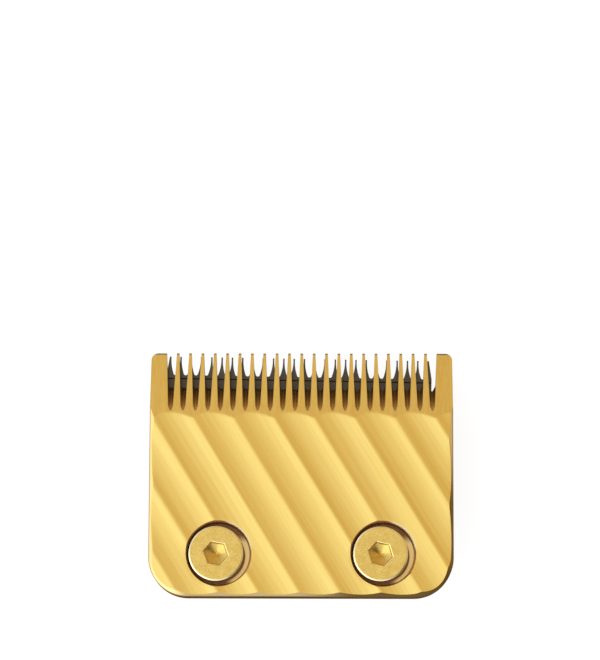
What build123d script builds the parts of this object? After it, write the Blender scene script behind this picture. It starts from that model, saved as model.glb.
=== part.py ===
from build123d import *
from math import ceil, cos, radians, sin, tan
import os

os.makedirs("parts", exist_ok=True)

# Clipper blade set, in millimetres. The origin lies midway between the two screw seats on the
# back face of the fixed blade: +X along the row of teeth, +Y to the tips, +Z out of the face.

# Fixed blade, outline and wedge
blade_width = 46.0
tip_reach = 31.0  # screw line to the tooth tips
heel_reach = 6.5  # screw line to the heel edge
heel_thickness = 4.1  # back face to the flute crests
heel_corner = 6.0
tip_corner = 1.1
tip_thickness = 0.45
tip_chamfer = 0.15
bevel_length = 10.5  # tooth bevel, from the tips back to the crests
edge_chamfer = 0.68  # rim of the fluted face

# Flutes ground slantwise across the face
flute_pitch = 5.23  # square to the flutes
flute_depth = 0.32
flute_lean = 31.5  # degrees between a flute and the length of the blade
flute_crest_x = 2.3  # where one crest crosses the screw line
flute_round = 1.0  # radius of the crests
flute_stock = 0.08  # metal above the crests that the grinding takes off

# Comb of tapered slots between the fixed teeth
slot_count = 22
end_tooth = 2.36  # width of the two outer teeth at the tips
slot_mouth = 1.5  # slot width at the tips
slot_root = 0.72  # slot width where it runs out in the bevel
slot_length = 9.3  # tips to the run-out
slot_ramp = 3.55  # length of the ramped floor between back face and run-out
slot_floor = 0.26  # flat stripe along the floor, between its two slanted sides
slot_side = 55.0  # degrees, slant of those sides
slot_margin = 1.0  # the grinding wheel runs past the tips and the run-out by this much

# Seats for the two mounting screws
screw_spacing = 24.8
seat_web = 2.15  # metal left under a screw head
seat_bore = 9.2  # at the floor of the seat
seat_draft = 11.5  # degrees, the seat opens towards the face
seat_lip = 0.12  # depth of the bevelled lip round the seat, below the crests
shank_hole = 5.2

# Back of the fixed blade
front_rail = 9.8  # ground land behind the tips
hollow_length = 6.6
hollow_depth = 0.35
rear_rail = 3.2
groove_width = 1.6
groove_depth = 0.5

# Moving blade
cutter_lead = 0.76  # its tips stand back from the fixed tips
cutter_length = 18.6
cutter_thickness = 1.9
cutter_tip_thickness = 0.4
cutter_bevel = 5.4  # bevel on its back, from the tips
cutter_teeth = 26
pitch_ratio = 5 / 6  # cutter pitch to slot pitch
cutter_tip = 0.24  # tooth width at the tip
cutter_gap_depth = 2.85
cutter_gap_root = 0.3  # radius at the root of a gap
cutter_gap_slant = 20.0  # degrees, flanks of a gap where they leave its root
cutter_flare = 0.45  # slant of the outer flanks
cutter_heel_corner = 1.5
cutter_land = 3.32  # ground strip behind its tips
cutter_relief = 0.3
cutter_heel_land = 2.7
oil_film = 0.02  # between the two blades

# Where the moving blade stands in its stroke
cutter_shift = -0.53
cutter_pivot = 21.0  # it is turned about this point of its length
cutter_yaw = 0.95  # degrees, clockwise seen from the face

# Drive yoke on the back of the moving blade
yoke_reach = 17.0  # screw line to the middle of the yoke
yoke_length = 21.5
yoke_width = 8.4
yoke_base = 1.5
yoke_corner = 2.0
fork_gap = 5.0
fork_wall = 2.3
fork_width = 6.4
fork_height = 4.43
fork_sink = 0.7  # the drive slot is sunk into the base
fork_round = 1.0
fork_root = 0.8
rib_length = 1.2
rib_thickness = 1.4
rib_height = 2.6
boss_length = 7.0  # locating boss on top of the yoke
boss_width = 3.2
boss_height = 1.2
boss_corner = 0.8
boss_clearance = 0.08

# Yoke screws
yoke_screw_spacing = 16.4
yoke_thread = 2.0
yoke_thread_clearance = 0.03
yoke_hole_clearance = 0.1
yoke_screw_length = 3.1
yoke_head = 3.7
yoke_head_height = 1.25
yoke_head_chamfer = 0.4
recess_width = 0.55
recess_span = 2.2
recess_depth = 0.7

# Mounting screws
screw_thread = 4.0
screw_length = 10.0
screw_neck = 3.3  # relieved under the head
screw_neck_drop = 0.4  # the thread starts this far below the blade
screw_head = 8.24
screw_head_height = 1.7
screw_head_chamfer = 0.18
screw_tip_chamfer = 0.6
screw_slack = 0.4  # the screws stand this far left of the middle of their seats
socket_flats = 3.25
socket_depth = 0.85
socket_drill = 3.0
socket_point = 118.0  # degrees, drill point at the bottom of the socket
socket_turns = (50.0, 47.0)  # degrees, how far each screw came round

# Values that follow from the ones above
blank_height = heel_thickness + flute_stock
bevel_slope = (heel_thickness - tip_thickness) / bevel_length
bevel_run = (blank_height - tip_thickness) / bevel_slope
flute_plane = Plane(
    origin=(flute_crest_x, 0, heel_thickness),
    x_dir=(cos(radians(flute_lean)), sin(radians(flute_lean)), 0),
    z_dir=(sin(radians(flute_lean)), -cos(radians(flute_lean)), 0),
)
flute_half_count = ceil((blade_width + tip_reach) / 2 / flute_pitch) + 1
slot_pitch = (blade_width - 2 * end_tooth - slot_mouth) / (slot_count - 1)
slot_end = tip_reach - slot_length
slot_end_height = tip_thickness + slot_length * bevel_slope
slot_ramp_plane = Plane(
    origin=(0, slot_end, slot_end_height),
    x_dir=(-1, 0, 0),
    z_dir=(0, slot_ramp, -slot_end_height),
)
slot_widening = (slot_mouth - slot_root) / slot_length
slot_tool_mouth = slot_mouth + slot_margin * slot_widening
slot_tool_root = slot_root - slot_margin * slot_widening
slot_tool_size = tip_reach
slot_tool_half = slot_floor / 2 + slot_tool_size / tan(radians(slot_side))
seat_wall_top = seat_bore / 2 + (blank_height - seat_web) * tan(radians(seat_draft))
seat_lip_start = seat_bore / 2 + (heel_thickness - seat_lip - seat_web) * tan(radians(seat_draft))
seat_points = (-screw_spacing / 2, screw_spacing / 2)
rail_end = tip_reach - front_rail - hollow_length - rear_rail

cutter_pitch = slot_pitch * pitch_ratio
cutter_gap_half = (cutter_pitch - cutter_tip) / 2
cutter_tip_y = tip_reach - cutter_lead - cutter_pivot
cutter_heel_y = cutter_tip_y - cutter_length
cutter_tip_half = (cutter_teeth - 1) * cutter_pitch / 2 + cutter_tip / 2
cutter_half = cutter_tip_half + cutter_flare
cutter_back = -oil_film - cutter_thickness
cutter_frame = Plane(
    origin=(cutter_shift, cutter_pivot, 0),
    x_dir=(cos(radians(cutter_yaw)), -sin(radians(cutter_yaw)), 0),
    z_dir=(0, 0, 1),
)
cutter_side = Plane(
    origin=cutter_frame.origin,
    x_dir=cutter_frame.y_dir,
    z_dir=cutter_frame.x_dir,
)
yoke_y = yoke_reach - cutter_pivot
yoke_face = cutter_back - yoke_base
yoke_points = ((-yoke_screw_spacing / 2, yoke_y), (yoke_screw_spacing / 2, yoke_y))
fork_plane = Plane(
    origin=cutter_frame.from_local_coords((0, yoke_y, yoke_face)),
    x_dir=cutter_frame.x_dir,
    z_dir=-cutter_frame.y_dir,
)
socket_point_depth = socket_drill / 2 / tan(radians(socket_point / 2))

# Tool for one slot: it tapers to its root, and its trough-shaped floor ramps up to the bevel
with BuildPart() as slot_tool:
    with BuildSketch(slot_ramp_plane):
        with BuildLine():
            Polyline(
                (-slot_floor / 2, 0),
                (slot_floor / 2, 0),
                (slot_tool_half, slot_tool_size),
                (-slot_tool_half, slot_tool_size),
                close=True,
            )
        make_face()
    extrude(amount=slot_tool_size, both=True)
    with BuildSketch():
        with BuildLine():
            Polyline(
                (-slot_tool_mouth / 2, tip_reach + slot_margin),
                (slot_tool_mouth / 2, tip_reach + slot_margin),
                (slot_tool_root / 2, slot_end - slot_margin),
                (-slot_tool_root / 2, slot_end - slot_margin),
                close=True,
            )
        make_face()
    extrude(amount=slot_tool_size, both=True, mode=Mode.INTERSECT)

# Fixed blade
with BuildPart() as fixed_blade:
    with BuildSketch() as outline:
        with Locations((0, (tip_reach - heel_reach) / 2)):
            Rectangle(blade_width, tip_reach + heel_reach)
        fillet(outline.vertices().group_by(Axis.Y)[0], heel_corner)
        fillet(outline.vertices().group_by(Axis.Y)[-1], tip_corner)
    extrude(amount=blank_height)
    chamfer(fixed_blade.faces().sort_by(Axis.Z)[-1].edges(), edge_chamfer + flute_stock)
    with BuildSketch(Plane.YZ) as wedge:
        with BuildLine():
            Polyline(
                (-heel_reach, 0),
                (tip_reach, 0),
                (tip_reach, tip_thickness),
                (tip_reach - bevel_run, blank_height),
                (-heel_reach, blank_height),
                close=True,
            )
        make_face()
        chamfer(wedge.vertices().group_by(Axis.X)[-1].sort_by(Axis.Y)[-1], tip_chamfer)
    extrude(amount=blade_width, both=True, mode=Mode.INTERSECT)
    with BuildSketch(flute_plane) as flutes:
        with BuildLine():
            for i in range(-flute_half_count, flute_half_count):
                SagittaArc((i * flute_pitch, 0), ((i + 1) * flute_pitch, 0), -flute_depth)
            Polyline(
                (flute_half_count * flute_pitch, 0),
                (flute_half_count * flute_pitch, heel_thickness),
                (-flute_half_count * flute_pitch, heel_thickness),
                (-flute_half_count * flute_pitch, 0),
            )
        make_face()
        fillet(flutes.vertices().group_by(Axis.Y)[0].sort_by(Axis.X)[1:-1], flute_round)
    extrude(amount=blade_width + tip_reach, both=True, mode=Mode.SUBTRACT)
    with GridLocations(slot_pitch, 1, slot_count, 1):
        add(slot_tool.part, mode=Mode.SUBTRACT)
    with Locations(*((x, 0, seat_web) for x in seat_points)):
        Cone(
            seat_bore / 2,
            seat_wall_top,
            blank_height - seat_web,
            align=(Align.CENTER, Align.CENTER, Align.MIN),
            mode=Mode.SUBTRACT,
        )
    with Locations(*((x, 0, heel_thickness - seat_lip) for x in seat_points)):
        Cone(
            seat_lip_start,
            seat_lip_start + seat_lip + flute_stock,
            seat_lip + flute_stock,
            align=(Align.CENTER, Align.CENTER, Align.MIN),
            mode=Mode.SUBTRACT,
        )
    with Locations(*((x, 0, 0) for x in seat_points)):
        Cylinder(shank_hole / 2, 2 * heel_thickness, mode=Mode.SUBTRACT)
    with BuildSketch(Plane.YZ):
        with BuildLine():
            hollow_front = (tip_reach - front_rail, 0)
            hollow_rear = (tip_reach - front_rail - hollow_length, 0)
            SagittaArc(hollow_front, hollow_rear, -hollow_depth)
            Line(hollow_rear, hollow_front)
        make_face()
        with BuildLine():
            Polyline(
                (rail_end, 0),
                (rail_end - groove_depth, groove_depth),
                (rail_end - groove_width + groove_depth, groove_depth),
                (rail_end - groove_width, 0),
                close=True,
            )
        make_face()
    extrude(amount=blade_width, both=True, mode=Mode.SUBTRACT)
fixed_blade.part.label = "fixed_blade"
export_step(fixed_blade.part, "parts/fixed_blade.step")

# Gap between two cutter teeth: a round root with flanks that straighten towards the tips
with BuildSketch() as cutter_gap:
    with BuildLine():
        root = CenterArc(
            (0, cutter_gap_root - cutter_gap_depth),
            cutter_gap_root,
            180 + cutter_gap_slant,
            180 - 2 * cutter_gap_slant,
        )
        right = TangentArc(root @ 1, (cutter_gap_half, 0), tangent=root % 1)
        left = mirror(right, about=Plane.YZ)
        Line((-cutter_gap_half, 0), (cutter_gap_half, 0))
    make_face()

# Moving blade
with BuildPart() as moving_blade:
    with BuildSketch(cutter_side):
        with BuildLine():
            Polyline(
                (cutter_heel_y, -oil_film),
                (cutter_heel_y + cutter_heel_land, -oil_film),
                (cutter_heel_y + cutter_heel_land, -oil_film - cutter_relief),
                (cutter_tip_y - cutter_land, -oil_film - cutter_relief),
                (cutter_tip_y - cutter_land, -oil_film),
                (cutter_tip_y, -oil_film),
                (cutter_tip_y, -oil_film - cutter_tip_thickness),
                (cutter_tip_y - cutter_bevel, cutter_back),
                (cutter_heel_y, cutter_back),
                close=True,
            )
        make_face()
    extrude(amount=cutter_half, both=True)
    with BuildSketch(cutter_frame) as cutter_outline:
        with BuildLine():
            Polyline(
                (-cutter_half, cutter_heel_y),
                (cutter_half, cutter_heel_y),
                (cutter_half, cutter_tip_y - cutter_gap_depth),
                (cutter_tip_half, cutter_tip_y),
                (-cutter_tip_half, cutter_tip_y),
                (-cutter_half, cutter_tip_y - cutter_gap_depth),
                close=True,
            )
        make_face()
        fillet(cutter_outline.vertices().group_by(Axis.Y)[0], cutter_heel_corner)
        with Locations((0, cutter_tip_y)):
            with GridLocations(cutter_pitch, 1, cutter_teeth - 1, 1):
                add(cutter_gap.sketch, mode=Mode.SUBTRACT)
        with Locations(*yoke_points):
            Circle(yoke_thread / 2 + yoke_thread_clearance, mode=Mode.SUBTRACT)
        with Locations((0, yoke_y)):
            RectangleRounded(
                boss_length + 2 * boss_clearance,
                boss_width + 2 * boss_clearance,
                boss_corner + boss_clearance,
                mode=Mode.SUBTRACT,
            )
    extrude(amount=2 * cutter_thickness, both=True, mode=Mode.INTERSECT)
moving_blade.part.label = "moving_blade"
export_step(moving_blade.part, "parts/moving_blade.step")

# Drive yoke, with a slot for the eccentric of the clipper's motor
with BuildPart() as drive_yoke:
    with BuildSketch(cutter_frame.offset(yoke_face)):
        with Locations((0, yoke_y)):
            RectangleRounded(yoke_length, yoke_width, yoke_corner)
    extrude(amount=yoke_base)
    with BuildSketch(cutter_frame.offset(cutter_back)):
        with Locations((0, yoke_y)):
            RectangleRounded(boss_length, boss_width, boss_corner)
    extrude(amount=boss_height)
    with BuildSketch(fork_plane) as fork_section:
        with Locations((0, -fork_height / 2)):
            Rectangle(fork_gap + 2 * fork_wall, fork_height)
        fillet(fork_section.vertices().group_by(Axis.Y)[0], fork_round)
    extrude(amount=fork_width / 2, both=True)
    with BuildSketch(fork_plane):
        with BuildLine():
            Polyline(
                (-fork_gap / 2 - fork_wall - rib_length, 0),
                (-fork_gap / 2 - fork_wall, -rib_height),
                (fork_gap / 2 + fork_wall, -rib_height),
                (fork_gap / 2 + fork_wall + rib_length, 0),
                close=True,
            )
        make_face()
    extrude(amount=rib_thickness / 2, both=True)
    with BuildSketch(fork_plane) as drive_slot:
        with Locations((0, fork_sink)):
            Rectangle(fork_gap, fork_sink + fork_height, align=(Align.CENTER, Align.MAX))
        fillet(drive_slot.vertices().group_by(Axis.Y)[-1], fork_root)
    extrude(amount=yoke_width, both=True, mode=Mode.SUBTRACT)
    with BuildSketch(cutter_frame.offset(yoke_face)):
        with Locations(*yoke_points):
            Circle(yoke_thread / 2 + yoke_hole_clearance)
    extrude(amount=yoke_base, mode=Mode.SUBTRACT)
drive_yoke.part.label = "drive_yoke"
export_step(drive_yoke.part, "parts/drive_yoke.step")

# Two small screws hold the yoke to the moving blade
for side, point in zip(("left", "right"), yoke_points):
    screw_axis = Plane(
        origin=cutter_frame.from_local_coords((*point, yoke_face)),
        x_dir=cutter_frame.x_dir,
        z_dir=(0, 0, -1),
    )
    with BuildPart() as yoke_screw:
        with BuildSketch(screw_axis):
            Circle(yoke_head / 2)
        extrude(amount=yoke_head_height)
        chamfer(yoke_screw.faces().sort_by(Axis.Z)[0].edges(), yoke_head_chamfer)
        with BuildSketch(screw_axis):
            Circle(yoke_thread / 2)
        extrude(amount=-yoke_screw_length)
        with BuildSketch(screw_axis.offset(yoke_head_height)):
            Rectangle(recess_span, recess_width)
            Rectangle(recess_width, recess_span)
        extrude(amount=-recess_depth, mode=Mode.SUBTRACT)
    yoke_screw.part.label = f"yoke_screw_{side}"
    export_step(yoke_screw.part, f"parts/yoke_screw_{side}.step")

# Two socket screws hold the fixed blade to the clipper
for side, seat_x, socket_turn in zip(("left", "right"), seat_points, socket_turns):
    head_seat = Plane(origin=(seat_x - screw_slack, 0, seat_web))
    with BuildPart() as mounting_screw:
        with BuildSketch(head_seat):
            Circle(screw_head / 2)
        extrude(amount=screw_head_height)
        chamfer(mounting_screw.faces().sort_by(Axis.Z)[-1].edges(), screw_head_chamfer)
        with BuildSketch(head_seat):
            Circle(screw_neck / 2)
        extrude(amount=-seat_web - screw_neck_drop)
        with BuildSketch(head_seat.offset(-screw_length)):
            Circle(screw_thread / 2)
        extrude(amount=screw_length - seat_web - screw_neck_drop)
        chamfer(mounting_screw.faces().sort_by(Axis.Z)[0].edges(), screw_tip_chamfer)
        with BuildSketch(head_seat.offset(screw_head_height)):
            RegularPolygon(socket_flats / 2, 6, major_radius=False, rotation=socket_turn)
        extrude(amount=-socket_depth, mode=Mode.SUBTRACT)
        with Locations(head_seat.offset(screw_head_height - socket_depth)):
            Cone(
                0,
                socket_drill / 2,
                socket_point_depth,
                align=(Align.CENTER, Align.CENTER, Align.MAX),
                mode=Mode.SUBTRACT,
            )
    mounting_screw.part.label = f"mounting_screw_{side}"
    export_step(mounting_screw.part, f"parts/mounting_screw_{side}.step")
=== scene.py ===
import math

import bmesh
import bpy
from mathutils import Matrix, Vector


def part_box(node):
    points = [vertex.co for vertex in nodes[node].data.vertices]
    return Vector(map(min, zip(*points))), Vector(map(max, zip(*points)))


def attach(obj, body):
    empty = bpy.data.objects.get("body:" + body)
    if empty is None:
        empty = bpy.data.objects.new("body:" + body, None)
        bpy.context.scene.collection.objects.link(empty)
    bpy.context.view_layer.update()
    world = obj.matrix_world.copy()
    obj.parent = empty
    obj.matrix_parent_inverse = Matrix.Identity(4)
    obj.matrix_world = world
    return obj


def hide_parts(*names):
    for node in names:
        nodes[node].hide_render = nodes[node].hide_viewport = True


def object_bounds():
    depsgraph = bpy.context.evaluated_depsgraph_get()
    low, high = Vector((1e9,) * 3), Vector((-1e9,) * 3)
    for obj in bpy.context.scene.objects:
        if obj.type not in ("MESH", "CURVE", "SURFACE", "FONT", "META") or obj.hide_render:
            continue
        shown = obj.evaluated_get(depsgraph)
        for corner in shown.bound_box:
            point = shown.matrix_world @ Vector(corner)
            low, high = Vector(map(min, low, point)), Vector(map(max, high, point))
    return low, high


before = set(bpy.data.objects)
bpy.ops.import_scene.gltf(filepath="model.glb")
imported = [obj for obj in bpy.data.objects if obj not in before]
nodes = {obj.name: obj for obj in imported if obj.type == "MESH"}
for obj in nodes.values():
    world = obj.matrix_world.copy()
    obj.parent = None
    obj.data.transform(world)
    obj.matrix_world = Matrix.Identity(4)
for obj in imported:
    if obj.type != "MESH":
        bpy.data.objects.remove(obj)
cad_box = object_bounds()
bpy.ops.object.select_all(action="DESELECT")


# Fixed blade
# A wedge of hardened steel, ground from one plate and coated gold. One wheel cuts the slanted flutes
# across its face, a second the flat tooth bevel, and a third the rough slots, which are painted brown as
# shade.
mm = 0.001
flute_lean = math.radians(31.5)
crest_round = 0.6 * mm
bevel_start = 20.5 * mm
slot_start = 21.6 * mm
slots_half_width = 21.7 * mm
slot_heights = (0.6 * mm, 3.4 * mm)
tip_line = 31.0 * mm
edge_line = 3.45 * mm
heel_corner = Vector((23.0, -6.5, 3.5)) * mm
corner_reach = (25 * mm, 14 * mm)
seat_place = 12.4 * mm
seat_radius = 4.6 * mm
seat_floor = 2.15 * mm
seat_draft = math.radians(11.5)
seat_wall = seat_radius - seat_floor * math.tan(seat_draft)
seat_shade_heights = (2.5 * mm, 3.6 * mm)
lit_centre = Vector((0.1, -0.3, 0)) * mm
lit_radius = 3.87 * mm
lit_top = 2.9 * mm
lit_slope = 0.25
lit_right = (0.8 * mm, 2.4 * mm)
lit_upper = (3.2 * mm, 1.6 * mm)
rim_towards = (0.74, 0.67)
rim_reach = (3.8 * mm, 4.4 * mm)

gold_light = (0.97, 0.70, 0.20, 1)
gold_deep = (0.89, 0.61, 0.14, 1)
gold_edge = (0.66, 0.45, 0.17, 1)
gold_wall = (0.60, 0.39, 0.12, 1)
gold_dark = (0.17, 0.095, 0.025, 1)
bevel_tone = (0.97, 0.955, 1.0, 1)
rim_highlight = (1.0, 0.82, 0.46, 1)
slot_deep = (0.29, 0.16, 0.05, 1)
slot_end = (0.60, 0.345, 0.08, 1)
seat_deep = (0.32, 0.14, 0.03, 1)
seat_brown = (0.58, 0.29, 0.09, 1)
seat_lit = (0.82, 0.575, 0.22, 1)
face_rough = (0.27, 0.33)
edge_rough = 0.16
slot_rough = 0.45
seat_rough = 0.5
lit_rough = 0.3
shade_metal = 0.4
rim_highlight_metal = 0.1

# One finish fades into the next where the surface leans this far along an axis.
bevel_lean = (0.15, 0.25)
back_lean = (-0.5, -0.6)
above_back_lean = (-0.6, -0.4)
edge_lean = (0.85, 0.78)
wall_lean = (0.4, 0.2)
slot_side_lean = (0.3, 0.4)
slot_floor_lean = (0.42, 0.5)
crest_lean = (0.955, 0.975)


def put(tree, value, socket):
    """Feeds a socket from another one, or sets it to a plain value."""
    if isinstance(value, bpy.types.NodeSocket):
        tree.links.new(value, socket)
    else:
        socket.default_value = value


def maths(tree, operation, first, second=0.0):
    """Works out one or two values with a math node."""
    node = tree.nodes.new("ShaderNodeMath")
    node.operation = operation
    put(tree, first, node.inputs[0])
    put(tree, second, node.inputs[1])
    return node.outputs[0]


def all_of(tree, *masks):
    """Where every one of several masks holds."""
    product = masks[0]
    for mask in masks[1:]:
        product = maths(tree, "MULTIPLY", product, mask)
    return product


def step(tree, value, start, end):
    """Goes smoothly from 0 at start to 1 at end, which may lie on either side."""
    node = tree.nodes.new("ShaderNodeMapRange")
    node.interpolation_type = "SMOOTHSTEP"
    put(tree, value, node.inputs["Value"])
    node.inputs["From Min"].default_value = start
    node.inputs["From Max"].default_value = end
    return node.outputs[0]


# A mix node has sockets of its own for each kind of data, so they go by number here.
def mix_values(tree, factor, first, second):
    """Blends two values by a factor."""
    node = tree.nodes.new("ShaderNodeMix")
    put(tree, factor, node.inputs[0])
    put(tree, first, node.inputs[2])
    put(tree, second, node.inputs[3])
    return node.outputs[0]


def mix_vectors(tree, factor, first, second):
    """Blends two vectors by a factor."""
    node = tree.nodes.new("ShaderNodeMix")
    node.data_type = "VECTOR"
    put(tree, factor, node.inputs[0])
    put(tree, first, node.inputs[4])
    put(tree, second, node.inputs[5])
    return node.outputs[1]


def mix_colours(tree, factor, first, second, blend="MIX"):
    """Blends two colours by a factor."""
    node = tree.nodes.new("ShaderNodeMix")
    node.data_type = "RGBA"
    node.blend_type = blend
    put(tree, factor, node.inputs[0])
    put(tree, first, node.inputs[6])
    put(tree, second, node.inputs[7])
    return node.outputs[2]


def split(tree, vector):
    """Gives the three parts of a vector."""
    node = tree.nodes.new("ShaderNodeSeparateXYZ")
    tree.links.new(vector, node.inputs[0])
    return node.outputs


def flat_place(tree, across, along):
    """Joins two values to a place at height 0."""
    node = tree.nodes.new("ShaderNodeCombineXYZ")
    tree.links.new(across, node.inputs["X"])
    tree.links.new(along, node.inputs["Y"])
    return node.outputs[0]


def reach(tree, place, centre):
    """How far a place lies from a centre."""
    node = tree.nodes.new("ShaderNodeVectorMath")
    node.operation = "DISTANCE"
    tree.links.new(place, node.inputs[0])
    node.inputs[1].default_value = centre
    return node.outputs["Value"]


def turn_about_z(tree, place, angle):
    """Turns a place about the Z axis."""
    node = tree.nodes.new("ShaderNodeVectorRotate")
    node.rotation_type = "Z_AXIS"
    tree.links.new(place, node.inputs["Vector"])
    put(tree, angle, node.inputs["Angle"])
    return node.outputs["Vector"]


def noise(tree, place, scale, detail):
    """Gives a grey noise of so many grains to the unit of place."""
    node = tree.nodes.new("ShaderNodeTexNoise")
    tree.links.new(place, node.inputs["Vector"])
    put(tree, scale, node.inputs["Scale"])
    node.inputs["Detail"].default_value = detail
    return node.outputs[0]


def new_material(name):
    """Starts a material, and gives it with its nodes, its shader and the place on the piece."""
    material = bpy.data.materials.new(name)
    material.use_nodes = True
    tree = material.node_tree
    place = tree.nodes.new("ShaderNodeTexCoord").outputs["Object"]
    return material, tree, tree.nodes["Principled BSDF"], place


def new_effect(name, inputs, outputs):
    """Starts a node group for an effect that several finishes share."""
    group = bpy.data.node_groups.new(name, "ShaderNodeTree")
    for socket, kind in inputs.items():
        group.interface.new_socket(socket, in_out="INPUT", socket_type=kind)
    for socket in outputs:
        group.interface.new_socket(socket, in_out="OUTPUT", socket_type="NodeSocketFloat")
    return group, group.nodes.new("NodeGroupInput").outputs, group.nodes.new("NodeGroupOutput").inputs


def place_effect(tree, effect, place, **values):
    """Puts an effect into a material with its own values, and gives its outputs."""
    node = tree.nodes.new("ShaderNodeGroup")
    node.node_tree = effect
    tree.links.new(place, node.inputs["Place"])
    for name, value in values.items():
        put(tree, value, node.inputs[name.capitalize()])
    return node.outputs


def roughen(tree, shader, height, strength, depth):
    """Lets a height stand out from the surface by a depth, and gives the node that does it."""
    bump = tree.nodes.new("ShaderNodeBump")
    bump.inputs["Strength"].default_value = strength
    bump.inputs["Distance"].default_value = depth
    tree.links.new(height, bump.inputs["Height"])
    tree.links.new(bump.outputs["Normal"], shader.inputs["Normal"])
    return bump


# A wheel leaves long fine lines. They run along the Y axis, turned about Z.
grinding_lines, group_in, group_out = new_effect(
    "grinding_lines",
    {"Place": "NodeSocketVector", "Turn": "NodeSocketFloat", "Lines": "NodeSocketFloat"},
    ("Height", "Tone"),
)
drawn_out = grinding_lines.nodes.new("ShaderNodeVectorMath")
drawn_out.operation = "MULTIPLY"
drawn_out.inputs[1].default_value = (1 / mm, 0.008 / mm, 0.3 / mm)
turned = turn_about_z(grinding_lines, group_in["Place"], group_in["Turn"])
grinding_lines.links.new(turned, drawn_out.inputs[0])
fine_lines = noise(grinding_lines, drawn_out.outputs["Vector"], scale=group_in["Lines"], detail=2.0)
broad_lines = noise(grinding_lines, drawn_out.outputs["Vector"], scale=2.0, detail=2.0)
both_lines = mix_values(grinding_lines, 0.5, broad_lines, fine_lines)
tone = step(grinding_lines, both_lines, start=0.3, end=0.7)
grinding_lines.links.new(fine_lines, group_out["Height"])
grinding_lines.links.new(tone, group_out["Tone"])

gold_steel, tree, shader, place = new_material("gold_steel")
surface = tree.nodes.new("ShaderNodeNewGeometry").outputs["Normal"]
at_x, at_y, at_z = split(tree, place)
facing_x, facing_y, facing_z = split(tree, surface)
from_middle = maths(tree, "ABSOLUTE", at_x)

# The bevel, the back, the edges and the slots are told apart by their lean and their place.
above_back = step(tree, facing_z, *above_back_lean)
on_back = step(tree, facing_z, *back_lean)
on_edge = all_of(tree, step(tree, facing_z, *edge_lean), above_back)
on_side = all_of(tree, step(tree, facing_z, *wall_lean), above_back)
on_bevel = all_of(
    tree,
    step(tree, facing_y, *bevel_lean),
    step(tree, at_y, bevel_start - mm, bevel_start),
)
slot_cut = maths(
    tree,
    "MAXIMUM",
    step(tree, maths(tree, "ABSOLUTE", facing_x), *slot_side_lean),
    step(tree, facing_y, *slot_floor_lean),
)
in_slot = all_of(
    tree,
    step(tree, at_y, slot_start - 0.2 * mm, slot_start),
    step(tree, from_middle, slots_half_width + 0.2 * mm, slots_half_width),
    slot_cut,
)

# Painted shade and light in the seats: the wall round each screw head is painted dark brown as shade,
# a patch on its right is painted pale as light, and a thin ring outside it is a painted highlight.
seat_x = maths(tree, "SUBTRACT", at_x, maths(tree, "MULTIPLY", maths(tree, "SIGN", at_x), seat_place))
from_seat = flat_place(tree, seat_x, at_y)
draft = maths(tree, "MULTIPLY", at_z, math.tan(seat_draft))
flare = maths(tree, "SUBTRACT", reach(tree, from_seat, (0, 0, 0)), draft)
within_seat = all_of(
    tree,
    step(tree, flare, seat_wall + 0.04 * mm, seat_wall + 0.02 * mm),
    step(tree, at_z, 0, 0.1 * mm),
)
# Painted light: a pale patch low on the right of each seat, where the lamp falls past the head.
lit_height = maths(tree, "ADD", at_z, maths(tree, "MULTIPLY", at_y, lit_slope))
painted_lit_patch = all_of(
    tree,
    step(tree, lit_height, lit_top + 0.1 * mm, lit_top - 0.1 * mm),
    step(tree, reach(tree, from_seat, lit_centre), lit_radius - 0.05 * mm, lit_radius + 0.05 * mm),
    step(tree, at_y, *lit_upper),
    step(tree, seat_x, *lit_right),
)
# Painted highlight: a thin bright ring just outside the upper right of each seat.
to_upper_right = maths(
    tree,
    "ADD",
    maths(tree, "MULTIPLY", seat_x, rim_towards[0]),
    maths(tree, "MULTIPLY", at_y, rim_towards[1]),
)
painted_rim_highlight = all_of(
    tree,
    step(tree, flare, seat_wall + 0.12 * mm, seat_wall + 0.06 * mm),
    step(tree, to_upper_right, *rim_reach),
    step(tree, at_z, lit_top + 0.3 * mm, lit_top + 0.45 * mm),
)
seat_shade = maths(tree, "SUBTRACT", within_seat, maths(tree, "MULTIPLY", within_seat, painted_lit_patch))

turn = mix_values(tree, on_back, mix_values(tree, on_bevel, -flute_lean, 0.0), math.pi / 2)
lines = place_effect(tree, grinding_lines, place, turn=turn, lines=7.0)
face_gold = mix_colours(tree, lines["Tone"], gold_deep, gold_light)
gold = mix_colours(tree, on_bevel, face_gold, bevel_tone, blend="MULTIPLY")
# Painted shade: the edges turn dark below a height and near the heel's right corner.
below_edge = step(tree, at_z, edge_line + 0.15 * mm, edge_line)
painted_corner_shade = step(tree, reach(tree, place, heel_corner), *corner_reach)
edge_shade = maths(tree, "MAXIMUM", below_edge, painted_corner_shade)
edge_tone = mix_colours(tree, edge_shade, gold_edge, gold_dark)
edged = mix_colours(tree, on_edge, gold, mix_colours(tree, on_side, edge_tone, gold_wall))
# Painted shade: the slots are brown, darker deeper in.
slot_painted_shade = mix_colours(tree, step(tree, at_z, *slot_heights), slot_deep, slot_end)
slotted = mix_colours(tree, in_slot, edged, slot_painted_shade)
# Painted shade: the tips of the teeth are darkened.
painted_tip_shade = step(tree, at_y, tip_line - 0.35 * mm, tip_line - 0.05 * mm)
tipped = mix_colours(tree, painted_tip_shade, slotted, gold_dark)
# Painted shade: the seat walls are dark brown, darkest low down.
seat_wall_tone = mix_colours(tree, step(tree, at_z, *seat_shade_heights), seat_deep, seat_brown)
seated = mix_colours(tree, within_seat, tipped, mix_colours(tree, painted_lit_patch, seat_wall_tone, seat_lit))
put(tree, mix_colours(tree, painted_rim_highlight, seated, rim_highlight), shader.inputs["Base Color"])

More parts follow.
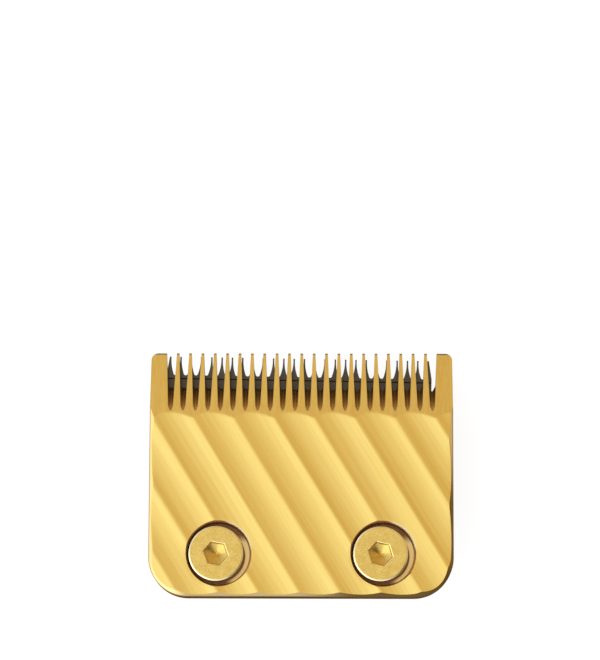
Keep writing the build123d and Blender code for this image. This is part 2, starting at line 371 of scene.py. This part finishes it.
ground = mix_values(tree, lines["Tone"], *face_rough)
edge_polish = mix_values(tree, on_edge, ground, edge_rough)
slot_polish = mix_values(tree, in_slot, edge_polish, slot_rough)
seat_polish = mix_values(tree, painted_lit_patch, seat_rough, lit_rough)
put(tree, mix_values(tree, within_seat, slot_polish, seat_polish), shader.inputs["Roughness"])
dull = mix_values(tree, maths(tree, "MAXIMUM", seat_shade, in_slot), 1.0, shade_metal)
put(tree, mix_values(tree, painted_rim_highlight, dull, rim_highlight_metal), shader.inputs["Metallic"])

# Brushing leaves the crests between the flutes a little softer than they were ground.
line_relief = roughen(tree, shader, lines["Height"], strength=0.1, depth=0.02 * mm)
crest = tree.nodes.new("ShaderNodeBevel")
crest.inputs["Radius"].default_value = crest_round
on_crest = step(tree, split(tree, crest.outputs["Normal"])[2], *crest_lean)
put(tree, mix_vectors(tree, on_crest, surface, crest.outputs["Normal"]), line_relief.inputs["Normal"])
nodes["fixed_blade"].data.materials[0] = gold_steel


# Moving blade
# A thinner plate of hardened steel with a black coating. It lies against the back of the fixed blade
# on a film of oil, and its own row of teeth slides to and fro behind the comb.
black_deep = (0.086, 0.071, 0.050, 1)
black_light = (0.134, 0.112, 0.082, 1)
shade_black = (0.035, 0.028, 0.018, 1)
black_rough = (0.33, 0.45)
cutter_yaw = math.radians(0.95)
cutter_step = 26.92 * mm
shadow_edge = 25.45 * mm

black_steel, tree, shader, place = new_material("black_steel")
lines = place_effect(tree, grinding_lines, place, turn=0.0, lines=8.0)
from_heel = split(tree, turn_about_z(tree, place, cutter_yaw))[1]
# Painted shade: a thin dark line at the step, and a dark band from an edge towards the heel.
step_shade_line = all_of(
    tree,
    step(tree, from_heel, cutter_step - 0.16 * mm, cutter_step - 0.08 * mm),
    step(tree, from_heel, cutter_step + 0.06 * mm, cutter_step),
)
painted_shadow = step(tree, from_heel, shadow_edge + 0.15 * mm, shadow_edge - 0.15 * mm)
coated = mix_colours(tree, lines["Tone"], black_deep, black_light)
with_painted_shade = mix_colours(tree, maths(tree, "MAXIMUM", step_shade_line, painted_shadow), coated, shade_black)
put(tree, with_painted_shade, shader.inputs["Base Color"])
put(tree, mix_values(tree, lines["Tone"], *black_rough), shader.inputs["Roughness"])
roughen(tree, shader, lines["Height"], strength=0.2, depth=0.01 * mm)
shader.inputs["Metallic"].default_value = 1.0
nodes["moving_blade"].data.materials[0] = black_steel


# Drive yoke
# A black plastic moulding with soft edges, pegged into a hole in the moving blade and screwed to its
# back. The eccentric of the clipper's motor runs in its slot and pushes the blade to and fro.
plastic_deep = (0.012, 0.012, 0.014, 1)
plastic_light = (0.030, 0.030, 0.033, 1)
plastic_rough = (0.42, 0.58)
yoke_edge = 0.18 * mm
yoke_edge_angle = math.radians(35)
flat_angle = math.radians(1)
weld = 0.001 * mm


def only(piece):
    """Makes a piece the only one selected and the active one."""
    bpy.ops.object.select_all(action="DESELECT")
    piece.select_set(True)
    bpy.context.view_layer.objects.active = piece


def finish_with(piece, kind, **settings):
    """Gives a piece a modifier and applies it."""
    only(piece)
    modifier = piece.modifiers.new(kind.lower(), kind)
    for name, value in settings.items():
        setattr(modifier, name, value)
    bpy.ops.object.modifier_apply(modifier=modifier.name)


def smooth(piece, degrees):
    """Shades a piece smooth, except over edges sharper than an angle."""
    only(piece)
    bpy.ops.object.shade_smooth_by_angle(angle=math.radians(degrees))


yoke = bpy.data.objects.new("yoke", nodes["drive_yoke"].data.copy())
bpy.context.scene.collection.objects.link(yoke)
only(yoke)
bpy.ops.object.mode_set(mode="EDIT")
bpy.ops.mesh.select_all(action="SELECT")
bpy.ops.mesh.customdata_custom_splitnormals_clear()
bpy.ops.mesh.remove_doubles(threshold=weld)
bpy.ops.mesh.dissolve_limited(angle_limit=flat_angle)
bpy.ops.object.mode_set(mode="OBJECT")
finish_with(
    yoke, "BEVEL", width=yoke_edge, segments=3, limit_method="ANGLE", angle_limit=yoke_edge_angle
)
smooth(yoke, degrees=30)

# A fine grain covers the moulding and the plated screws.
speckle, group_in, group_out = new_effect(
    "speckle", {"Place": "NodeSocketVector", "Grains": "NodeSocketFloat"}, ("Height", "Tone")
)
in_mm = speckle.nodes.new("ShaderNodeVectorMath")
in_mm.operation = "SCALE"
in_mm.inputs["Scale"].default_value = 1 / mm
speckle.links.new(group_in["Place"], in_mm.inputs[0])
grain = noise(speckle, in_mm.outputs["Vector"], scale=group_in["Grains"], detail=3.0)
cloud = noise(speckle, in_mm.outputs["Vector"], scale=0.8, detail=2.0)
tone = step(speckle, mix_values(speckle, 0.35, grain, cloud), start=0.3, end=0.7)
speckle.links.new(grain, group_out["Height"])
speckle.links.new(tone, group_out["Tone"])

yoke_plastic, tree, shader, place = new_material("yoke_plastic")
grained = place_effect(tree, speckle, place, grains=9.0)
put(tree, mix_colours(tree, grained["Tone"], plastic_deep, plastic_light), shader.inputs["Base Color"])
put(tree, mix_values(tree, grained["Tone"], *plastic_rough), shader.inputs["Roughness"])
roughen(tree, shader, grained["Height"], strength=0.3, depth=0.03 * mm)
yoke.data.materials.clear()
yoke.data.materials.append(yoke_plastic)
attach(yoke, "cutter")
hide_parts("drive_yoke")


# Yoke screws
# Two small pan-head screws of steel, plated with bright zinc, each with a cross recess that narrows
# with its depth. They go through the yoke into threads in the moving blade.
zinc_deep = (0.46, 0.46, 0.48, 1)
zinc_light = (0.70, 0.70, 0.72, 1)
zinc_rough = (0.22, 0.38)
pan_height = 1.25 * mm
pan_round = 0.5 * mm
pan_sides = 64
shank_radius = 1.0 * mm
recess_span = 2.1 * mm
recess_width = 0.55 * mm
recess_depth = 0.75 * mm
recess_taper = 0.55
near = 0.01 * mm


def pick(piece, mode, test):
    """While a piece is edited, selects its vertices, edges or faces whose every corner passes a test."""
    bpy.ops.mesh.select_mode(type=mode)
    bpy.ops.mesh.select_all(action="DESELECT")
    mesh = bmesh.from_edit_mesh(piece.data)
    parts = {"VERT": mesh.verts, "EDGE": mesh.edges, "FACE": mesh.faces}[mode]
    for part in parts:
        corners = [part] if mode == "VERT" else part.verts
        part.select_set(all(test(corner.co) for corner in corners))
    bmesh.update_edit_mesh(piece.data)


def turned_rod(name, radius, low, high, sides):
    """Starts a round piece on the Z axis, from one height to another."""
    bpy.ops.mesh.primitive_cylinder_add(
        vertices=sides, radius=radius, depth=high - low, location=(0, 0, (low + high) / 2)
    )
    piece = bpy.context.object
    piece.name = name
    bpy.ops.object.transform_apply()
    return piece


def work(piece, tool, operation):
    """Cuts, joins or trims a piece by a tool, which is then gone."""
    finish_with(piece, "BOOLEAN", operation=operation, object=tool, solver="EXACT")
    bpy.data.objects.remove(tool)


yoke_screw_low, yoke_screw_high = (Vector(corner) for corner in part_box("yoke_screw_left"))
pan_radius = (yoke_screw_high.x - yoke_screw_low.x) / 2
pan_face = yoke_screw_low.z
pan_under = pan_face + pan_height
shank_length = yoke_screw_high.z - pan_under
yoke_screw = turned_rod("yoke_screw", pan_radius, pan_face, pan_under, pan_sides)
bpy.ops.object.mode_set(mode="EDIT")
pick(yoke_screw, "EDGE", lambda at: at.z < pan_face + near)
bpy.ops.mesh.bevel(offset=pan_round, segments=6, affect="EDGES")
pick(yoke_screw, "FACE", lambda at: at.z > pan_under - near)
bpy.ops.mesh.inset(thickness=pan_radius - shank_radius)
bpy.ops.mesh.extrude_region_move(TRANSFORM_OT_translate={"value": (0, 0, shank_length)})
bpy.ops.object.mode_set(mode="OBJECT")
for turn in (0, 90):
    bpy.ops.mesh.primitive_cube_add(
        size=1, location=(0, 0, pan_face), scale=(recess_span, recess_width, 2 * recess_depth)
    )
    recess_arm = bpy.context.object
    bpy.ops.object.transform_apply()
    bpy.ops.object.mode_set(mode="EDIT")
    pick(recess_arm, "FACE", lambda at: at.z > pan_face)
    bpy.ops.transform.resize(value=(recess_taper, recess_taper, 1), center_override=(0, 0, pan_face))
    bpy.ops.object.mode_set(mode="OBJECT")
    recess_arm.rotation_euler.z = math.radians(turn)
    bpy.ops.object.transform_apply()
    work(yoke_screw, recess_arm, "DIFFERENCE")

plain_steel, tree, shader, place = new_material("plain_steel")
grained = place_effect(tree, speckle, place, grains=6.0)
put(tree, mix_colours(tree, grained["Tone"], zinc_deep, zinc_light), shader.inputs["Base Color"])
put(tree, mix_values(tree, grained["Tone"], *zinc_rough), shader.inputs["Roughness"])
roughen(tree, shader, grained["Height"], strength=0.15, depth=0.01 * mm)
shader.inputs["Metallic"].default_value = 1.0
yoke_screw.data.materials.append(plain_steel)
smooth(yoke_screw, degrees=30)


def set_in_place(pattern, side, turn, body):
    """Copies a screw to one side, turned as far as it came round, in place of its solid."""
    node = f"{pattern.name}_{side}"
    low, high = (Vector(corner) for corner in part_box(node))
    only(pattern)
    bpy.ops.object.duplicate()
    piece = bpy.context.object
    piece.name = f"{node}_detailed"
    piece.location = ((low.x + high.x) / 2, (low.y + high.y) / 2, 0)
    piece.rotation_euler.z = math.radians(turn)
    bpy.ops.object.transform_apply()
    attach(piece, body)
    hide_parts(node)


for side, turn in (("left", 12), ("right", -31)):
    set_in_place(yoke_screw, side, turn, "cutter")
bpy.data.objects.remove(yoke_screw)


# Mounting screws
# Two low socket-head screws with rolled threads, plated gold with a fine speckled satin. Their heads sit
# loosely in the seats, with their sides painted brown as shade, and they hold the blade to the clipper.
screw_light = (0.93, 0.68, 0.19, 1)
screw_deep = (0.71, 0.47, 0.10, 1)
screw_wear_and_highlight = (0.96, 0.80, 0.44, 1)
screw_side_shade = (0.32, 0.14, 0.03, 1)
socket_shade = (0.90, 0.87, 0.85, 1)
screw_rough = (0.28, 0.42)
side_shade_metal = 0.4
head_height = 1.7 * mm
head_edge = 0.22 * mm
head_edge_height = 0.125 * mm
head_sides = 128
head_wear_and_highlight = (2.4 * mm, 3.0 * mm)
inner_wear_and_highlight = 0.35
neck_radius = 1.65 * mm
thread_start = -0.4 * mm
thread_radius = 2.0 * mm
thread_pitch = 0.7 * mm
thread_depth = 0.38 * mm
thread_crest = 0.0875 * mm
thread_root = 0.175 * mm
thread_end = 0.5 * mm
thread_steps = 48
thread_spare = 0.1 * mm
saw_weld = 0.0001 * mm
sleeve_play = 0.02 * mm
sleeve_sides = 62
socket_flats = 3.25 * mm
socket_depth = 1.5 * mm
socket_slope = math.tan(math.radians(59))
socket_edge = 0.14 * mm
socket_edge_height = 0.09 * mm
socket_taper = 0.56
socket_tip = 0.06 * mm
socket_reach = (2.1 * mm, 2.0 * mm)
drill_spare = 2 * mm
drill_sides = 96

screw_low, screw_high = (Vector(corner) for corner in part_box("mounting_screw_left"))
head_radius = (screw_high.x - screw_low.x) / 2
head_top = screw_high.z
head_under = head_top - head_height
head_corner = head_top - head_edge_height
screw_end = screw_low.z

# The thread starts as one furrow and one ridge of its section, wound up along the shank.
bpy.ops.mesh.primitive_plane_add(size=mm)
thread = bpy.context.object
bpy.ops.object.mode_set(mode="EDIT")
bpy.ops.mesh.select_mode(type="VERT")
bpy.ops.mesh.select_all(action="SELECT")
bpy.ops.mesh.merge(type="CENTER")
bpy.ops.transform.translate(value=(thread_radius - thread_depth, 0, screw_end - 2 * thread_pitch))
thread_flank = (thread_pitch - thread_crest - thread_root) / 2
for move in (
    (0, 0, thread_root),
    (thread_depth, 0, thread_flank),
    (0, 0, thread_crest),
    (-thread_depth, 0, thread_flank),
):
    bpy.ops.mesh.extrude_region_move(TRANSFORM_OT_translate={"value": move})
bpy.ops.object.mode_set(mode="OBJECT")
thread_turns = math.ceil((thread_start - screw_end) / thread_pitch) + 3
finish_with(
    thread,
    "SCREW",
    screw_offset=thread_pitch,
    iterations=thread_turns,
    steps=thread_steps,
    render_steps=thread_steps,
)

# It is sawn off and closed a little past both ends, then turned down to a chamfer at each.
bpy.ops.object.mode_set(mode="EDIT")
bpy.ops.mesh.select_all(action="SELECT")
bpy.ops.mesh.remove_doubles(threshold=weld)
for height, outwards in ((screw_end - thread_spare, -1), (thread_start + thread_spare, 1)):
    bpy.ops.mesh.select_all(action="SELECT")
    bpy.ops.mesh.bisect(
        plane_co=(0, 0, height),
        plane_no=(0, 0, outwards),
        use_fill=True,
        clear_outer=True,
        threshold=saw_weld,
    )
bpy.ops.mesh.select_all(action="SELECT")
bpy.ops.mesh.normals_make_consistent(inside=False)
bpy.ops.object.mode_set(mode="OBJECT")
sleeve = turned_rod("sleeve", thread_radius + sleeve_play, screw_end, thread_start, sleeve_sides)
bpy.ops.object.mode_set(mode="EDIT")
for height in (screw_end, thread_start):
    pick(sleeve, "EDGE", lambda at: abs(at.z - height) < near)
    bpy.ops.mesh.bevel(offset=thread_end, segments=1, affect="EDGES")
bpy.ops.object.mode_set(mode="OBJECT")
work(thread, sleeve, "INTERSECT")

mounting_screw = turned_rod("mounting_screw", head_radius, head_under, head_corner, head_sides)
neck_length = head_under - thread_start + thread_end
bpy.ops.object.mode_set(mode="EDIT")
pick(mounting_screw, "FACE", lambda at: at.z > head_corner - near)
bpy.ops.mesh.inset(thickness=head_edge)
bpy.ops.transform.translate(value=(0, 0, head_edge_height))
pick(mounting_screw, "FACE", lambda at: at.z < head_under + near)
bpy.ops.mesh.inset(thickness=head_radius - neck_radius)
bpy.ops.mesh.extrude_region_move(TRANSFORM_OT_translate={"value": (0, 0, -neck_length)})
bpy.ops.object.mode_set(mode="OBJECT")
work(mounting_screw, thread, "UNION")

# The socket is a tapered hexagon with a flared mouth, and ends in the cone of a drill.
socket_floor = head_top - 2 * socket_depth
socket_corner = head_top - socket_edge_height
socket_mouth = 1 + 4 * socket_edge / socket_flats
socket = turned_rod("socket", socket_flats / math.sqrt(3), socket_floor, socket_corner, 6)
bpy.ops.object.mode_set(mode="EDIT")
pick(socket, "FACE", lambda at: at.z < socket_floor + near)
bpy.ops.transform.resize(value=(socket_taper, socket_taper, 1), center_override=(0, 0, socket_floor))
pick(socket, "FACE", lambda at: at.z > socket_corner - near)
bpy.ops.mesh.extrude_region_move(TRANSFORM_OT_translate={"value": (0, 0, 2 * socket_edge_height)})
bpy.ops.transform.resize(value=(socket_mouth, socket_mouth, 1), center_override=(0, 0, head_top))
bpy.ops.object.mode_set(mode="OBJECT")
drill_length = socket_depth + drill_spare
bpy.ops.mesh.primitive_cone_add(
    vertices=drill_sides,
    radius1=socket_tip,
    radius2=drill_length * socket_slope,
    depth=drill_length,
    location=(0, 0, head_top + (drill_spare - socket_depth) / 2),
)
drill = bpy.context.object
bpy.ops.object.transform_apply()
work(socket, drill, "INTERSECT")
work(mounting_screw, socket, "DIFFERENCE")
smooth(mounting_screw, degrees=28)

gold_screw, tree, shader, place = new_material("gold_screw")
at_x, at_y, at_z = split(tree, place)
other_low, other_high = (Vector(corner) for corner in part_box("mounting_screw_right"))
screws_middle = (screw_low + screw_high + other_low + other_high).x / 4
screws_apart = (other_low - screw_low).x
from_middle = maths(tree, "ABSOLUTE", maths(tree, "SUBTRACT", at_x, screws_middle))
from_axis = flat_place(tree, maths(tree, "SUBTRACT", from_middle, screws_apart / 2), at_y)
head_reach = reach(tree, from_axis, (0, 0, 0))
# Painted shade: the sides of the heads are brown and less metallic.
on_side = all_of(
    tree,
    step(tree, head_reach, head_radius - 0.3 * mm, head_radius - 0.1 * mm),
    step(tree, at_z, head_top - 0.22 * mm, head_top - 0.4 * mm),
)
# The top rim of each head, and more faintly the socket's mouth, are lighter: partly wear, partly a
# painted highlight.
wear_and_highlight = all_of(
    tree,
    step(tree, at_z, head_top - 0.005 * mm, head_top - 0.02 * mm),
    step(tree, at_z, head_top - 0.14 * mm, head_top - 0.12 * mm),
    mix_values(tree, step(tree, head_reach, *head_wear_and_highlight), inner_wear_and_highlight, 1.0),
)
# Painted shade: the socket is darkened.
in_socket = all_of(
    tree,
    step(tree, at_z, head_top - 0.11 * mm, head_top - 0.15 * mm),
    step(tree, head_reach, *socket_reach),
)
grained = place_effect(tree, speckle, place, grains=5.0)
gold = mix_colours(tree, grained["Tone"], screw_deep, screw_light)
with_painted_shade = mix_colours(tree, in_socket, gold, socket_shade, blend="MULTIPLY")
edged = mix_colours(tree, wear_and_highlight, with_painted_shade, screw_wear_and_highlight)
put(tree, mix_colours(tree, on_side, edged, screw_side_shade), shader.inputs["Base Color"])
put(tree, mix_values(tree, grained["Tone"], *screw_rough), shader.inputs["Roughness"])
put(tree, mix_values(tree, on_side, 1.0, side_shade_metal), shader.inputs["Metallic"])
roughen(tree, shader, grained["Height"], strength=0.25, depth=0.02 * mm)
mounting_screw.data.materials.append(gold_screw)
for side, turn in (("left", 20), ("right", 17)):
    set_in_place(mounting_screw, side, turn, "comb")
bpy.data.objects.remove(mounting_screw)


# Stage
# A white floor under the resting blade, and an even studio sky, cool on the window's side and warm on
# the other, with a dark flag at the right, a bright strip low at either side and a soft lamp at the left.
floor_size = 3.0
floor_height = cad_box[0][2]
floor_grey = (0.25, 0.25, 0.25, 1)
floor_warm = (0.22, 0.11, 0.025, 1)
floor_white = 0.86
blade_middle = 12 * mm
shadow_across = (30 * mm, 26 * mm)
shadow_along = (26 * mm, 22 * mm)
floor_left = (-80 * mm, -160 * mm)
floor_right = (80 * mm, 200 * mm)
middle_glow = 0.15
left_glow = 1.8
right_glow = 0.6

bpy.ops.mesh.primitive_plane_add(size=floor_size, location=(0, 0, floor_height))
floor = bpy.context.object
floor.name = "floor"

# Mirrored in the metal, the floor is brown in the blade's own shadow and bright farther out.
white_floor, tree, shader, place = new_material("white_floor")
tree.nodes.remove(shader)
light_path = tree.nodes.new("ShaderNodeLightPath").outputs
mirrored = maths(tree, "MAXIMUM", light_path["Is Glossy Ray"], light_path["Is Transmission Ray"])
across_floor, along_floor = split(tree, place)[:2]
from_blade = maths(tree, "SUBTRACT", along_floor, blade_middle)
under_blade = all_of(
    tree,
    mirrored,
    step(tree, maths(tree, "ABSOLUTE", across_floor), *shadow_across),
    step(tree, maths(tree, "ABSOLUTE", from_blade), *shadow_along),
)
left_side = mix_values(tree, step(tree, across_floor, *floor_left), middle_glow, left_glow)
both_sides = mix_values(tree, step(tree, across_floor, *floor_right), left_side, right_glow)
mirrored_glow = maths(tree, "MULTIPLY", mirrored, mix_values(tree, under_blade, both_sides, 0.0))
seen_glow = maths(tree, "MULTIPLY", light_path["Is Camera Ray"], floor_white)
glow = tree.nodes.new("ShaderNodeEmission")
put(tree, maths(tree, "ADD", seen_glow, mirrored_glow), glow.inputs["Strength"])
matt = tree.nodes.new("ShaderNodeBsdfDiffuse")
put(tree, mix_colours(tree, under_blade, floor_grey, floor_warm), matt.inputs["Color"])
lit_floor = tree.nodes.new("ShaderNodeAddShader")
tree.links.new(matt.outputs[0], lit_floor.inputs[0])
tree.links.new(glow.outputs[0], lit_floor.inputs[1])
tree.links.new(lit_floor.outputs[0], tree.nodes["Material Output"].inputs["Surface"])
floor.data.materials.append(white_floor)

scene = bpy.context.scene
sky = bpy.data.worlds.new("studio")
scene.world = sky
sky.use_nodes = True
tree = sky.node_tree
direction = tree.nodes.new("ShaderNodeTexCoord").outputs["Generated"]
elevation = split(tree, direction)[2]


def towards(aim, start, end):
    """Goes from 0 to 1 as the sky's direction comes round to an aim."""
    node = tree.nodes.new("ShaderNodeVectorMath")
    node.operation = "DOT_PRODUCT"
    tree.links.new(direction, node.inputs[0])
    node.inputs[1].default_value = Vector(aim).normalized()
    return step(tree, node.outputs["Value"], start, end)


cool_side = (1.16, 1.28, 1.58, 1)
warm_side = (0.70, 0.58, 0.40, 1)
white = (1, 1, 1, 1)
flag_dim = 0.12
low_dim = 0.8
open_low_dim = 0.65
left_strip = 1.5
right_strip = 1.2
flag = towards((0.66, -0.50, 0.62), start=0.90, end=0.98)
at_window = towards((-0.80, -0.60, 0), start=-0.6, end=0.6)
open_side = towards((-0.857, 0.514, 0), start=-0.4, end=0.7)
at_left = towards((-0.94, -0.34, 0), start=0.4, end=0.85)
at_right = towards((0.97, 0.24, 0), start=0.85, end=0.97)

tint = mix_colours(tree, flag, mix_colours(tree, at_window, warm_side, cool_side), warm_side)
open_low = mix_values(tree, step(tree, elevation, start=0.15, end=0.5), open_low_dim, 1.0)
low_light = mix_values(tree, open_side, low_dim, open_low)
even_light = mix_values(tree, step(tree, elevation, start=0.15, end=0.95), low_light, 1.0)
dome = maths(tree, "MULTIPLY", even_light, mix_values(tree, flag, 1.0, flag_dim))
horizon = all_of(
    tree,
    step(tree, elevation, start=-0.1, end=0.0),
    step(tree, elevation, start=0.2, end=0.1),
)
both_strips = maths(
    tree,
    "ADD",
    maths(tree, "MULTIPLY", at_left, left_strip),
    maths(tree, "MULTIPLY", at_right, right_strip),
)
sky_light = maths(tree, "ADD", dome, maths(tree, "MULTIPLY", horizon, both_strips))
sky_colour = mix_colours(tree, 1.0, tint, sky_light, blend="MULTIPLY")
camera_ray = tree.nodes.new("ShaderNodeLightPath").outputs["Is Camera Ray"]
put(tree, mix_colours(tree, camera_ray, sky_colour, white), tree.nodes["Background"].inputs["Color"])

lamp_place = Vector((-0.33, -0.25, 0.27))
lamp_aim = Vector((0, blade_middle, 0))
lamp_data = bpy.data.lights.new("softbox", "AREA")
lamp_data.shape = "RECTANGLE"
lamp_data.size = 0.6
lamp_data.size_y = 0.12
lamp_data.energy = 0.36
lamp = bpy.data.objects.new("softbox", lamp_data)
scene.collection.objects.link(lamp)
lamp.location = lamp_place
lamp.rotation_euler = (lamp_aim - lamp_place).to_track_quat("-Z", "Y").to_euler()

# The camera looks down on the face from the heel's side, through a long lens.
camera_place = Vector((5.18, -41.72, 462.56)) * mm
camera_target = Vector((-0.271, 34.385, 2.0)) * mm
camera_roll = math.radians(0.196)
camera_data = bpy.data.cameras.new("camera")
camera_data.lens = 166.59
camera = bpy.data.objects.new("camera", camera_data)
scene.collection.objects.link(camera)
scene.camera = camera
forward = (camera_target - camera_place).normalized()
right = forward.cross(Vector((0, 1, 0))).normalized()
up = right.cross(forward)
camera.matrix_world = (
    Matrix.Translation(camera_place)
    @ Matrix((right, up, -forward)).transposed().to_4x4()
    @ Matrix.Rotation(camera_roll, 4, "Z")
)
scene.view_settings.view_transform = "Standard"
